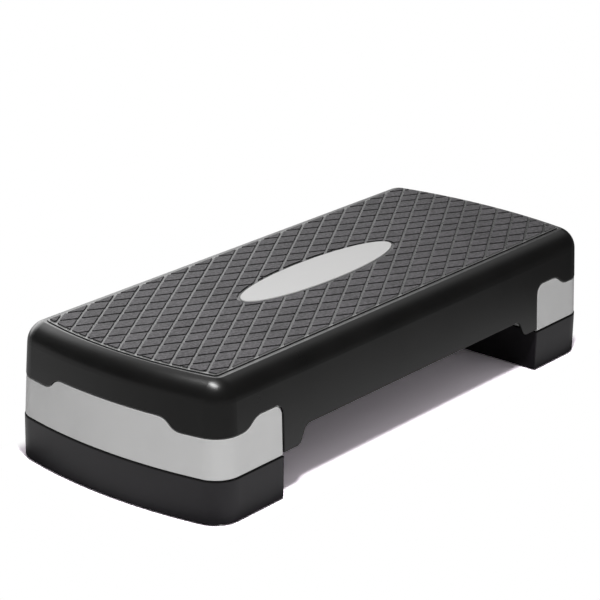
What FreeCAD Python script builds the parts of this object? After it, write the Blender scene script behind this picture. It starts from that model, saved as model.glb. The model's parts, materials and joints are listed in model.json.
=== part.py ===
# Two-level aerobic step platform: a black deck shell on two grey legs, raised by two push-on risers.
# Millimetres. +X runs along the length, -Y is the side nearest the user, +Z is up, and z = 0 is the floor.
import FreeCAD, Part
import math
import os
import Sketcher

SIZES = (
    ("length", 680, "over both bowed ends"),
    ("width", 280, "over the long sides"),
    ("height", 150, "floor to the top of the mat, with the risers on"),
    ("riser_height", 47.5, "floor to the underside of the legs"),
    ("foot_length", 112, "a leg or riser along X, from its inner face to the apex of its bowed end"),
    ("end_bow", 18, "rise of the bowed end across the full width"),
    ("corner_radius", 30, "plan radius of the four corners"),
    ("skirt_draft", 3, "degrees, inward lean of the deck's skirt"),
    ("skirt_wall", 2.5, "thickness of the skirt"),
    ("top_round", 24, "radius where the skirt turns into the deck"),
    ("inner_round", 18, "the same turn on the inside"),
    ("deck_thickness", 5, "deck at its rim, top to underside"),
    ("skirt_edge", 69.5, "height of the skirt's lower edge at mid-length"),
    ("skirt_edge_round", 0.8, "radius along the skirt's lower edge"),
    ("tab_clearance", 3, "gap under the skirt's four tabs"),
    ("tab_length", 31, "inner face of the leg to the middle of the tab's curve"),
    ("tab_run", 10, "length of the slope in the tab's curve"),
    ("tab_curve", 10, "radius of the tab's curve"),
    ("corner_edge", 91.8, "height of the skirt's edge round the corners"),
    ("side_window", 103.4, "height of the skirt's edge over the leg's side"),
    ("end_window", 103.8, "height of the skirt's edge over the leg's end"),
    ("side_window_length", 47.2, "inner face of the leg to the middle of the side window's curve"),
    ("side_window_run", 14.1, "length of the slope in the side window's curve"),
    ("side_window_curve", 24, "radius of the side window's curve"),
    ("end_window_width", 155.8, "between the middles of the end window's curves"),
    ("end_window_run", 10.8, "length of the slope in the end window's curves"),
    ("end_window_curve", 17.5, "radius of the end window's curves"),
    ("window_corner", 11.5, "radius at the side window's upper inner corner"),
    ("seam_gap", 1, "shadow line between the leg and the skirt"),
    ("tab_gap", 2, "shadow line between the leg and the tab beside it"),
    ("foot_gap", 1.1, "shadow line between the leg's showing faces and the riser"),
    ("fit_clearance", 0.4, "play of a leg inside the skirt"),
    ("leg_inset", 0.6, "the leg's foot stands this far inside the riser's outline"),
    ("leg_edge_round", 0.6, "radius round the leg's showing faces"),
    ("leg_draft", 2.7, "degrees, inward lean of the leg"),
    ("leg_wall", 2.5, "thickness of the leg's walls"),
    ("leg_floor", 4.5, "thickness of the leg's floor"),
    ("rib_wall", 2, "thickness of every rib"),
    ("deck_rib_depth", 10, "depth of the ribs under the deck"),
    ("deck_rib_pitch_x", 56, "spacing of the cross ribs under the deck"),
    ("deck_rib_pitch_y", 45, "spacing of the long ribs under the deck"),
    ("foot_rib_pitch", 48, "spacing of the ribs in a leg and a riser"),
    ("riser_wall", 2.5, "thickness of the riser's walls"),
    ("riser_deck", 4.5, "thickness of the riser's top"),
    ("edge_round", 1.2, "radius on the edges of the risers"),
    ("boss_radius", 6, "screw boss under the deck"),
    ("boss_depth", 16, "length of that boss under the deck"),
    ("tower_radius", 7.5, "tower of the leg that a deck boss stands on"),
    ("tower_cap", 4, "thickness of the tower's top, under which the screw's head sits"),
    ("screw_radius", 2, "shank of a leg screw"),
    ("screw_length", 16, "shank of a leg screw, under its head"),
    ("screw_head_radius", 4, "pan head of a leg screw"),
    ("screw_head_height", 2.8, "pan head of a leg screw"),
    ("screw_clearance", 0.4, "play round a screw's head and in its hole"),
    ("thread_clearance", 0.1, "play of the screw's shank in its boss"),
    ("pad_radius", 12, "rubber foot pads under the legs and the risers"),
    ("pad_thickness", 4, "rubber foot pads"),
    ("pad_proud", 1.5, "how far a pad stands out of its recess"),
    ("pad_play", 0.3, "play round a pad"),
    ("pad_boss_radius", 16, "boss in the riser that carries a pad"),
    ("pad_margin", 24, "from the sides of a foot to the middle of a pad"),
    ("lug_length", 34, "riser's locating lug, along Y"),
    ("lug_width", 16, "riser's locating lug, along X"),
    ("lug_height", 8, "riser's locating lug over its top"),
    ("lug_clearance", 0.4, "play of a lug in its slot"),
    ("lug_round", 3, "lead-in round on a lug"),
    ("mat_thickness", 3, "anti-slip mat"),
    ("mat_proud", 1, "how far the mat stands over the level that the deck's round rises to"),
    ("mat_margin_x", 23.6, "end of the platform to the mat"),
    ("mat_margin_y", 26.5, "side of the platform to the mat"),
    ("mat_bow", 14, "rise of the mat's bowed end"),
    ("mat_corner", 4, "plan radius of the mat's corners"),
    ("mat_gap", 0.8, "groove between the mat and the rim"),
    ("diamond_length", 39.6, "pitch of the mat's diamond pads, tip to tip along X"),
    ("diamond_width", 22.4, "pitch of the mat's diamond pads, tip to tip along Y"),
    ("diamond_shift_x", -1.8, "how far the diamond grid lies off the middle of the mat, along X"),
    ("diamond_shift_y", 1, "the same along Y"),
    ("diamond_groove", 3, "groove between neighbouring diamonds"),
    ("diamond_height", 1.2, "diamonds over the mat's sheet"),
    ("side_ledge", 1.8, "bare strip of the sheet along the mat's sides"),
    ("end_ledge", 3, "bare strip of the sheet along the mat's bowed ends"),
    ("plate_ledge", 4.5, "bare strip of the sheet round the centre plate"),
    ("rim_depth", 0.9, "depth of the mat's recess under the flat of the rim"),
    ("rim_round", 0.4, "radius on the rim's edge over the mat's groove"),
    ("plate_half_length", 127, "oval centre plate"),
    ("plate_half_width", 29.5, "oval centre plate"),
    ("plate_gap", 0.4, "play of the plate in the mat's window"),
    ("peg_radius", 3, "pegs under the centre plate"),
    ("peg_length", 6, "pegs under the centre plate"),
    ("peg_spacing", 150, "between the pegs of the centre plate"),
    ("peg_clearance", 0.2, "play of a peg in the deck"),
)

doc = FreeCAD.newDocument("aerobic_step")
sheet = doc.addObject("Spreadsheet::Sheet", "Dims")
for row, (alias, value, note) in enumerate(SIZES, start=1):
    sheet.set(f"A{row}", str(value))
    sheet.setAlias(f"A{row}", alias)
    sheet.set(f"B{row}", note)
doc.recompute()

# Places and derived sizes that several pieces share, as expressions on the sheet.
HALF_LENGTH = "Dims.length / 2"
HALF_WIDTH = "Dims.width / 2"
END_RADIUS = "(Dims.width ^ 2 / 4 + Dims.end_bow ^ 2) / (2 * Dims.end_bow)"
INNER_FACE = "(Dims.length / 2 - Dims.foot_length)"
FOOT_MIDDLE = "(Dims.length / 2 - (Dims.foot_length + Dims.end_bow) / 2)"
DECK_TOP = "(Dims.height - Dims.mat_proud)"
DECK_UNDERSIDE = f"({DECK_TOP} - Dims.deck_thickness)"
DECK_CORNER = f"(Dims.corner_radius - ({DECK_TOP} - Dims.riser_height) * tan(Dims.skirt_draft))"
RECESS_FLOOR = "(Dims.height - Dims.mat_thickness)"
RIM_TOP = f"({RECESS_FLOOR} + Dims.rim_depth)"
SHEET_TOP = "(Dims.height - Dims.diamond_height)"
LEG_TOP = f"({DECK_UNDERSIDE} - Dims.inner_round - Dims.fit_clearance)"
LEG_LEDGE = "(Dims.corner_edge - Dims.seam_gap - Dims.leg_wall)"
LEG_FLOOR_TOP = "(Dims.riser_height + Dims.leg_floor)"
TOWER_TOP = f"({DECK_UNDERSIDE} - Dims.boss_depth)"
UNDER_HEAD = f"({TOWER_TOP} - Dims.tower_cap)"
TONGUE_INSET = "(Dims.skirt_wall + Dims.fit_clearance)"
TAB_FOOT = "(Dims.riser_height + Dims.tab_clearance)"
BEYOND = "(Dims.length + Dims.width)"


def number(expression):
    return float(sheet.evalExpression(expression))


def bind(obj, **expressions):
    for name, expression in expressions.items():
        obj.setExpression(name, expression)
    return obj


def place(obj, x="0", y="0", z="0"):
    for axis, expression in zip("xyz", (x, y, z)):
        obj.setExpression(f"Placement.Base.{axis}", expression)
    return obj


def box(name, x, y, z, dx, dy, dz):
    # A block from its lowest corner.
    return place(bind(doc.addObject("Part::Box", name), Length=dx, Width=dy, Height=dz), x, y, z)


def rod(name, x, y, z, radius, height):
    return place(bind(doc.addObject("Part::Cylinder", name), Radius=radius, Height=height), x, y, z)


def cut(name, base, tool):
    result = doc.addObject("Part::Cut", name)
    result.Base = base
    result.Tool = tool
    return result


def fuse(name, shapes):
    result = doc.addObject("Part::MultiFuse", name)
    result.Shapes = shapes
    result.Refine = True
    return result


def common(name, shapes):
    result = doc.addObject("Part::MultiCommon", name)
    result.Shapes = shapes
    return result


def mirrored(name, source):
    # The same piece at the other end of the platform.
    result = doc.addObject("Part::Mirroring", name)
    result.Source = source
    result.Normal = FreeCAD.Vector(1, 0, 0)
    return result


def extrude(name, sketch, height, draft=None, symmetric=False):
    result = doc.addObject("Part::Extrusion", name)
    result.Base = sketch
    result.DirMode = "Normal"
    result.Solid = True
    result.Symmetric = symmetric
    bind(result, LengthFwd=height)
    if draft:
        bind(result, TaperAngle=f"-{draft}")
    return result


def rounded(name, base, radius, chosen):
    # Rounds the edges of a piece that the test picks.
    doc.recompute()
    result = doc.addObject("Part::Fillet", name)
    result.Base = base
    value = number(radius)
    edges = [(index, value, value) for index, edge in enumerate(base.Shape.Edges, start=1) if chosen(edge)]
    if not edges:
        raise RuntimeError(f"{name}: no edge to round")
    result.Edges = edges
    return result


def level_at(height):
    # Picks the edges that lie flat at one height.
    z = number(height)
    return lambda edge: abs(edge.BoundBox.ZMin - z) < 1e-4 and abs(edge.BoundBox.ZMax - z) < 1e-4


def upright_at(x):
    # Picks the upright edges on one cross plane.
    plane = number(x)

    def chosen(edge):
        extent = edge.BoundBox
        on_plane = abs(extent.XMin - plane) < 1e-4 and abs(extent.XMax - plane) < 1e-4
        return on_plane and extent.ZLength > extent.YLength

    return chosen


def on_skin(skin, top):
    # Picks the edges cut into the outside of a drafted block below a height, but not its own smooth seams.
    faces = Part.makeCompound(skin.Shape.Faces)
    seams = Part.makeCompound([edge for edge in skin.Shape.Edges if edge.BoundBox.ZLength > 1])
    limit = number(top)

    def chosen(edge):
        middle = Part.Vertex(edge.valueAt((edge.FirstParameter + edge.LastParameter) / 2))
        low = middle.Z < limit
        return low and faces.distToShape(middle)[0] < 1e-3 < seams.distToShape(middle)[0]

    return chosen


def rim_of(tool):
    # Picks the edges that a cutter's walls made where they come out of the rounded deck.
    doc.recompute()
    sides = Part.makeCompound(tool.Shape.Faces)
    floor = tool.Shape.BoundBox.ZMin

    def chosen(edge):
        middle = Part.Vertex(edge.valueAt((edge.FirstParameter + edge.LastParameter) / 2))
        along = edge.BoundBox.ZLength < edge.Length / 2
        return along and edge.BoundBox.ZMin > floor + 1e-3 and sides.distToShape(middle)[0] < 1e-3

    return chosen


def outline(name, half_length, half_width, end_radius, corner, z):
    # A rectangle with two bowed ends and rounded corners, flat at height z.
    sketch = place(doc.addObject("Sketcher::SketchObject", name), z=z)
    far, side, bow, fillet = (number(value) for value in (half_length, half_width, end_radius, corner))
    middle = far - bow
    rise = side - fillet
    reach = middle + math.sqrt((bow - fillet) ** 2 - rise ** 2)
    turn = math.atan2(rise, reach - middle)
    up = FreeCAD.Vector(0, 0, 1)

    def arc(x, y, radius, start, end):
        return Part.ArcOfCircle(Part.Circle(FreeCAD.Vector(x, y, 0), up, radius), start, end)

    half_turn = math.pi
    quarter = math.pi / 2
    sketch.addGeometry([
        Part.LineSegment(FreeCAD.Vector(-reach, side, 0), FreeCAD.Vector(reach, side, 0)),
        arc(reach, rise, fillet, turn, quarter),
        arc(middle, 0, bow, -turn, turn),
        arc(reach, -rise, fillet, -quarter, -turn),
        Part.LineSegment(FreeCAD.Vector(-reach, -side, 0), FreeCAD.Vector(reach, -side, 0)),
        arc(-reach, -rise, fillet, half_turn + turn, half_turn + quarter),
        arc(-middle, 0, bow, half_turn - turn, half_turn + turn),
        arc(-reach, rise, fillet, quarter, half_turn - turn),
    ], False)
    start, end, centre = 1, 2, 3
    top, right_top, right, right_low, low, left_low, left, left_top = range(8)
    tangents = ((top, end, right_top, end), (right_top, start, right, end), (right, start, right_low, end),
                (right_low, start, low, end), (low, start, left_low, end), (left_low, start, left, end),
                (left, start, left_top, end), (left_top, start, top, start))
    rules = [Sketcher.Constraint("Tangent", *joint) for joint in tangents]
    rules += [Sketcher.Constraint("Equal", right_top, other) for other in (right_low, left_low, left_top)]
    rules += [Sketcher.Constraint("Equal", right, left)]
    rules += [Sketcher.Constraint("Horizontal", line) for line in (top, low)]
    rules += [Sketcher.Constraint("PointOnObject", end_arc, centre, -1) for end_arc in (right, left)]
    sketch.addConstraint(rules)
    driven = (
        ("corner", Sketcher.Constraint("Radius", right_top, fillet), corner),
        ("bow", Sketcher.Constraint("Radius", right, bow), end_radius),
        ("right_centre", Sketcher.Constraint("DistanceX", -1, 1, right, centre, middle),
         f"{half_length} - ({end_radius})"),
        ("left_centre", Sketcher.Constraint("DistanceX", -1, 1, left, centre, -middle),
         f"{end_radius} - ({half_length})"),
        ("far_side", Sketcher.Constraint("DistanceY", -1, 1, top, start, side), half_width),
        ("near_side", Sketcher.Constraint("DistanceY", -1, 1, low, start, -side), f"-({half_width})"),
    )
    for label, rule, expression in driven:
        index = sketch.addConstraint(rule)
        sketch.renameConstraint(index, label)
        sketch.setExpression(f"Constraints.{label}", expression)
    return sketch


def footprint(name, inset, z):
    # The platform's own plan outline, drawn in by an inset.
    return outline(name, f"{HALF_LENGTH} - ({inset})", f"{HALF_WIDTH} - ({inset})",
                   f"{END_RADIUS} - ({inset})", f"Dims.corner_radius - ({inset})", z)


def profile(name, rotation, points):
    # A closed polygon standing upright, with each corner tied to the sheet.
    sketch = doc.addObject("Sketcher::SketchObject", name)
    sketch.Placement = FreeCAD.Placement(FreeCAD.Vector(0, 0, 0), rotation)
    corners = [FreeCAD.Vector(number(u), number(v), 0) for u, v in points]
    count = len(corners)
    sketch.addGeometry([Part.LineSegment(corners[i], corners[(i + 1) % count]) for i in range(count)], False)
    sketch.addConstraint([Sketcher.Constraint("Coincident", i, 2, (i + 1) % count, 1) for i in range(count)])
    for i, (u, v) in enumerate(points):
        for kind, axis, expression in (("DistanceX", "u", u), ("DistanceY", "v", v)):
            index = sketch.addConstraint(Sketcher.Constraint(kind, -1, 1, i, 1, number(expression)))
            sketch.renameConstraint(index, f"{axis}{i}")
            sketch.setExpression(f"Constraints.{axis}{i}", expression)
    return sketch


SIDE_VIEW = FreeCAD.Rotation(FreeCAD.Vector(1, 0, 0), 90)
END_VIEW = FreeCAD.Rotation(FreeCAD.Vector(0, 1, 0), FreeCAD.Vector(0, 0, 1), FreeCAD.Vector(1, 0, 0), "ZXY")


def along_y(x, z):
    # Picks the edge that runs along Y at one place in the side view.
    place_x, place_z = number(x), number(z)

    def chosen(edge):
        middle = edge.BoundBox.Center
        return edge.BoundBox.YLength > 1 and math.hypot(middle.x - place_x, middle.z - place_z) < 1e-3

    return chosen


def along_x(y, z):
    # Picks the edges that run along X at one place in the end view, on both sides.
    place_y, place_z = number(y), number(z)

    def chosen(edge):
        middle = edge.BoundBox.Center
        return edge.BoundBox.XLength > 1 and math.hypot(abs(middle.y) - place_y, middle.z - place_z) < 1e-3

    return chosen


def window(name, gap, inner_gap, foot):
    # The room in the skirt where the right leg shows, drawn in by a gap above and at its inner edge.
    inner = f"{INNER_FACE} + {inner_gap}"
    curve = f"{INNER_FACE} + Dims.side_window_length"
    slope_top, slope_foot = f"{curve} - Dims.side_window_run / 2", f"{curve} + Dims.side_window_run / 2"
    side_top, corner_top = f"Dims.side_window - {gap}", f"Dims.corner_edge - {gap}"
    side = profile(f"{name}_side_view", SIDE_VIEW, (
        (inner, foot), (BEYOND, foot), (BEYOND, corner_top), (slope_foot, corner_top), (slope_top, side_top),
        (inner, side_top)))
    side = extrude(f"{name}_side", side, BEYOND, symmetric=True)
    side = rounded(f"{name}_side_corner", side, "Dims.window_corner", along_y(inner, side_top))
    side = rounded(f"{name}_side_upper", side, "Dims.side_window_curve", along_y(slope_top, side_top))
    side = rounded(f"{name}_side_curve", side, "Dims.side_window_curve", along_y(slope_foot, corner_top))
    half = "Dims.end_window_width / 2"
    inside, outside = f"{half} - Dims.end_window_run / 2", f"{half} + Dims.end_window_run / 2"
    end_top = f"Dims.end_window - {gap}"
    end = profile(f"{name}_end_view", END_VIEW, (
        (f"-{BEYOND}", foot), (BEYOND, foot), (BEYOND, corner_top), (outside, corner_top), (inside, end_top),
        (f"-({inside})", end_top), (f"-({outside})", corner_top), (f"-{BEYOND}", corner_top)))
    end = place(end, x=inner)
    end = extrude(f"{name}_end", end, BEYOND)
    end = rounded(f"{name}_end_upper", end, "Dims.end_window_curve", along_x(inside, end_top))
    end = rounded(f"{name}_end_curve", end, "Dims.end_window_curve", along_x(outside, corner_top))
    return fuse(name, [side, end])


def foot_half(name, x):
    # Everything at the right-hand end from one cross plane outwards.
    return box(name, x, f"-{BEYOND}", f"-{BEYOND}", BEYOND, f"2 * {BEYOND}", f"2 * {BEYOND}")


# Places of what sits in each foot, at the right-hand end: (x, y) pairs.
PAD_PLACES = [(x, f"{sign}({HALF_WIDTH} - Dims.pad_margin)")
              for x in (f"{INNER_FACE} + Dims.pad_margin",
                        f"{HALF_LENGTH} - Dims.end_bow - Dims.pad_margin") for sign in ("", "-")]
INNER_ROW = f"({FOOT_MIDDLE} - Dims.foot_rib_pitch / 2)"
OUTER_ROW = f"({FOOT_MIDDLE} + Dims.foot_rib_pitch / 2)"
LUG_PLACES = [(INNER_ROW, f"{sign}1.5 * Dims.foot_rib_pitch") for sign in ("", "-")]
SCREW_PLACES = [(INNER_ROW, f"{sign}0.5 * Dims.foot_rib_pitch") for sign in ("", "-")]
SCREW_PLACES += [(OUTER_ROW, f"{sign}1.5 * Dims.foot_rib_pitch") for sign in ("", "-")]


def foot_ribs(name, bottom, top):
    # One rib across the foot and five along it, before they are trimmed to its walls.
    height = f"{top} - ({bottom})"
    ribs = [box(f"{name}_cross", f"{FOOT_MIDDLE} - Dims.rib_wall / 2", f"-{HALF_WIDTH}", bottom,
                "Dims.rib_wall", "Dims.width", height)]
    for step in range(-2, 3):
        y = f"{step} * Dims.foot_rib_pitch - Dims.rib_wall / 2"
        ribs.append(box(f"{name}_{step + 3}", INNER_FACE, y, bottom,
                        "Dims.foot_length", "Dims.rib_wall", height))
    return fuse(name, ribs)


def end_pair(label, right):
    # Labels the right-hand piece and makes its twin at the left-hand end.
    right.Label = f"{label}_right"
    left = mirrored(f"{label}_left_piece", right)
    left.Label = f"{label}_left"
    return [left, right]


PEG_PLACES = [f"{sign}Dims.peg_spacing / 2" for sign in ("", "-")]
MAT_HALF_LENGTH = f"({HALF_LENGTH} - Dims.mat_margin_x)"
MAT_HALF_WIDTH = f"({HALF_WIDTH} - Dims.mat_margin_y)"
MAT_END_RADIUS = f"({MAT_HALF_WIDTH} ^ 2 + Dims.mat_bow ^ 2) / (2 * Dims.mat_bow)"


def mat_outline(name, growth, z):
    return outline(name, f"{MAT_HALF_LENGTH} + {growth}", f"{MAT_HALF_WIDTH} + {growth}",
                   f"{MAT_END_RADIUS} + {growth}", f"Dims.mat_corner + {growth}", z)


def oval(name, growth, z, height):
    # The centre plate's outline as a solid, grown by a gap.
    ring = place(doc.addObject("Part::Ellipse", f"{name}_ring"), z=z)
    bind(ring, MajorRadius=f"Dims.plate_half_length + {growth}",
         MinorRadius=f"Dims.plate_half_width + {growth}")
    return extrude(name, ring, height)


def arch_under_skirt():
    # What is cut away under the skirt between its four tabs.
    curve = f"{INNER_FACE} - Dims.tab_length"
    slope_top, slope_foot = f"{curve} - Dims.tab_run / 2", f"{curve} + Dims.tab_run / 2"
    edge = "Dims.skirt_edge"
    arch = profile("arch_view", SIDE_VIEW, (
        (f"-{BEYOND}", "0"), (BEYOND, "0"), (BEYOND, TAB_FOOT), (slope_foot, TAB_FOOT), (slope_top, edge),
        (f"-({slope_top})", edge), (f"-({slope_foot})", TAB_FOOT), (f"-{BEYOND}", TAB_FOOT)))
    arch = extrude("arch", arch, BEYOND, symmetric=True)
    for place_name, x, z in (("foot", slope_foot, TAB_FOOT), ("top", slope_top, edge)):
        for end, sign in (("right", ""), ("left", "-")):
            arch = rounded(f"arch_{place_name}_{end}", arch, "Dims.tab_curve", along_y(f"{sign}({x})", z))
    return arch


def deck_ribs(hollow):
    # The grid of ribs between the legs, trimmed to the inside of the skirt.
    foot = f"{DECK_UNDERSIDE} - Dims.deck_rib_depth"
    ribs = []
    for step in range(-4, 5):
        ribs.append(box(f"cross_rib_{step + 5}", f"{step} * Dims.deck_rib_pitch_x - Dims.rib_wall / 2",
                        f"-{HALF_WIDTH}", foot, "Dims.rib_wall", "Dims.width", "Dims.deck_rib_depth"))
    for step in range(-2, 3):
        ribs.append(box(f"long_rib_{step + 3}", "-4 * Dims.deck_rib_pitch_x",
                        f"{step} * Dims.deck_rib_pitch_y - Dims.rib_wall / 2", foot,
                        "8 * Dims.deck_rib_pitch_x", "Dims.rib_wall", "Dims.deck_rib_depth"))
    return common("deck_ribs_trimmed", [fuse("deck_ribs", ribs), hollow])


def platform_shell():
    blank = extrude("shell_blank", footprint("shell_outline", "0", "Dims.riser_height"),
                    f"{DECK_TOP} - Dims.riser_height", "Dims.skirt_draft")
    blank = rounded("shell_rounded", blank, f"min(Dims.top_round; {DECK_CORNER})", level_at(DECK_TOP))
    over_rim = box("over_rim", f"-{HALF_LENGTH}", f"-{HALF_WIDTH}", RIM_TOP, "Dims.length", "Dims.width",
                   "Dims.height")
    blank = cut("shell_flat_rim", blank, over_rim)
    hollow = extrude("shell_hollow", footprint("hollow_outline", "Dims.skirt_wall", "Dims.riser_height"),
                     f"{DECK_UNDERSIDE} - Dims.riser_height", "Dims.skirt_draft")
    hollow = rounded("hollow_rounded", hollow, "Dims.inner_round", level_at(DECK_UNDERSIDE))
    leg_room = window("leg_window", "0", "0", "0")
    openings = fuse("shell_openings", [arch_under_skirt(), leg_room, mirrored("leg_window_left", leg_room)])
    walls = cut("shell_walls", cut("shell_bell", blank, hollow), openings)
    below_round = f"{DECK_UNDERSIDE} - Dims.inner_round"
    walls = rounded("shell_lower_edge", walls, "Dims.skirt_edge_round", on_skin(blank, below_round))
    recess = mat_outline("recess_outline", "Dims.mat_gap", RECESS_FLOOR)
    recess = extrude("mat_recess", recess, "Dims.mat_thickness * 2")
    tray = cut("shell_tray", walls, recess)
    tray = rounded("shell_rim", tray, "min(Dims.rim_round; Dims.rim_depth / 2)", rim_of(recess))
    bosses, pilots = [], []
    for i, (x, y) in enumerate(SCREW_PLACES):
        for end, sign in (("right", ""), ("left", "-")):
            bosses.append(rod(f"boss_{end}_{i}", f"{sign}{x}", y, TOWER_TOP, "Dims.boss_radius",
                              f"Dims.boss_depth + ({RECESS_FLOOR} - {DECK_UNDERSIDE}) / 2"))
            pilots.append(rod(f"pilot_{end}_{i}", f"{sign}{x}", y, TOWER_TOP,
                              "Dims.screw_radius + Dims.thread_clearance", "Dims.screw_length"))
    for end, x in zip(("right", "left"), PEG_PLACES):
        pilots.append(rod(f"peg_hole_{end}", x, "0", f"{DECK_UNDERSIDE} - Dims.deck_thickness",
                          "Dims.peg_radius + Dims.peg_clearance", "2 * Dims.deck_thickness"))
    body = fuse("shell_with_ribs", [tray, deck_ribs(hollow)] + bosses)
    shell = cut("shell", body, fuse("shell_holes", pilots))
    shell.Label = "platform_shell"
    return [shell]


def diamond_pads():
    # A grid of flat diamonds with a groove between them, cut off at the mat's ledges and then raised.
    half_x, half_y = number("Dims.diamond_length / 2"), number("Dims.diamond_width / 2")
    to_side = half_x * half_y / math.hypot(half_x, half_y)
    share = 1 - number("Dims.diamond_groove / 2") / to_side
    shift_x, shift_y, level = number("Dims.diamond_shift_x"), number("Dims.diamond_shift_y"), number(SHEET_TOP)
    tips = [FreeCAD.Vector(shift_x + x * share * half_x, shift_y + y * share * half_y, level)
            for x, y in ((1, 0), (0, 1), (-1, 0), (0, -1), (1, 0))]
    diamond = Part.Face(Part.makePolygon(tips))
    columns = math.ceil((number(MAT_HALF_LENGTH) + abs(shift_x)) / half_x)
    rows = math.ceil((number(MAT_HALF_WIDTH) + abs(shift_y)) / half_y)
    grid = [diamond.translated(FreeCAD.Vector(column * half_x, row * half_y, 0))
            for column in range(-columns, columns + 1) for row in range(-rows, rows + 1) if (column + row) % 2]
    field = outline("diamond_field_outline", f"{MAT_HALF_LENGTH} - Dims.end_ledge",
                    f"{MAT_HALF_WIDTH} - Dims.side_ledge", f"{MAT_END_RADIUS} - Dims.end_ledge",
                    "Dims.mat_corner", SHEET_TOP)
    field = extrude("diamond_field", field, "Dims.diamond_height")
    ring = oval("diamond_window", "Dims.plate_ledge", SHEET_TOP, "Dims.diamond_height")
    area = cut("diamond_area", field, ring)
    doc.recompute()
    floor = next(face for face in area.Shape.Faces if face.BoundBox.ZMax < level + 1e-4)
    rise = FreeCAD.Vector(0, 0, number("Dims.diamond_height"))
    return [face.extrude(rise) for face in floor.common(Part.makeCompound(grid)).Faces]


def anti_slip_mat():
    slab = extrude("mat_slab", mat_outline("mat_edge", "0", RECESS_FLOOR), f"{SHEET_TOP} - {RECESS_FLOOR}")
    window_tool = oval("mat_window", "Dims.plate_gap", RECESS_FLOOR, "Dims.mat_thickness")
    sheet_piece = cut("mat_sheet", slab, window_tool)
    pads = diamond_pads()
    mat = doc.addObject("Part::Feature", "mat")
    mat.Shape = sheet_piece.Shape.fuse(pads)
    mat.Label = "anti_slip_mat"
    return [mat]


def centre_plate():
    pegs = [rod(f"peg_{end}", x, "0", f"{RECESS_FLOOR} - Dims.peg_length", "Dims.peg_radius",
                "Dims.peg_length + Dims.mat_thickness / 2") for end, x in zip(("right", "left"), PEG_PLACES)]
    plate = fuse("plate", [oval("plate_disc", "0", RECESS_FLOOR, "Dims.mat_thickness")] + pegs)
    plate.Label = "centre_plate"
    return [plate]


def legs():
    foot = "Dims.riser_height"
    face_inner = f"{INNER_FACE} + Dims.tab_gap"
    face = extrude("leg_face_blank", footprint("leg_outline", "Dims.leg_inset", foot),
                   f"Dims.height - {foot}", "Dims.leg_draft")
    skin = face
    showing = window("leg_show", "Dims.seam_gap", "Dims.tab_gap", f"{foot} + Dims.foot_gap")
    face = common("leg_face_cut", [face, showing])
    face = rounded("leg_face", face, "Dims.leg_edge_round", on_skin(skin, "Dims.height"))
    tongue = extrude("leg_tongue_blank", footprint("tongue_outline", TONGUE_INSET, foot),
                     f"{LEG_TOP} - {foot}", "Dims.skirt_draft")
    tongue = common("leg_tongue", [tongue, foot_half("leg_room", face_inner)])
    block = fuse("leg_block", [face, tongue])
    inside = foot_half("leg_inside", f"{face_inner} + Dims.leg_wall")
    lower = footprint("leg_lower_outline", "Dims.leg_inset + Dims.leg_wall", foot)
    lower = extrude("leg_lower_hollow", lower, f"{LEG_LEDGE} - {foot}", "Dims.leg_draft")
    upper = footprint("leg_upper_outline", f"{TONGUE_INSET} + Dims.leg_wall", foot)
    upper = extrude("leg_upper_hollow", upper, f"Dims.height - {foot}", "Dims.skirt_draft")
    over_floor = box("leg_over_floor", "0", f"-{HALF_WIDTH}", LEG_FLOOR_TOP, "Dims.length", "Dims.width",
                     "Dims.height")
    hollow = common("leg_hollow", [fuse("leg_hollows", [lower, upper]), inside, over_floor])
    ribs = common("leg_ribs_trimmed", [foot_ribs("leg_ribs", LEG_FLOOR_TOP, LEG_LEDGE), lower, inside])
    towers = [rod(f"leg_tower_{i}", x, y, foot, "Dims.tower_radius", f"{TOWER_TOP} - {foot}")
              for i, (x, y) in enumerate(SCREW_PLACES)]
    solid = fuse("leg_solid", [cut("leg_tub", block, hollow), ribs] + towers)
    holes = []
    hole_radius = "Dims.screw_radius + Dims.screw_clearance"
    head_radius = "Dims.screw_head_radius + Dims.screw_clearance"
    for i, (x, y) in enumerate(SCREW_PLACES):
        holes.append(rod(f"leg_screw_hole_{i}", x, y, "0", hole_radius, "Dims.height"))
        holes.append(rod(f"leg_head_hole_{i}", x, y, foot, head_radius, f"{UNDER_HEAD} - {foot}"))
    for i, (x, y) in enumerate(PAD_PLACES):
        holes.append(rod(f"leg_pad_recess_{i}", x, y, foot, "Dims.pad_radius + Dims.pad_play",
                         "Dims.pad_thickness - Dims.pad_proud"))
    slot_x, slot_y = "Dims.lug_width + 2 * Dims.lug_clearance", "Dims.lug_length + 2 * Dims.lug_clearance"
    for i, (x, y) in enumerate(LUG_PLACES):
        low_x, low_y = f"{x} - ({slot_x}) / 2", f"{y} - ({slot_y}) / 2"
        holes.append(box(f"leg_slot_{i}", low_x, low_y, foot, slot_x, slot_y, "2 * Dims.leg_floor"))
    return end_pair("leg", cut("leg", solid, fuse("leg_holes", holes)))


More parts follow.
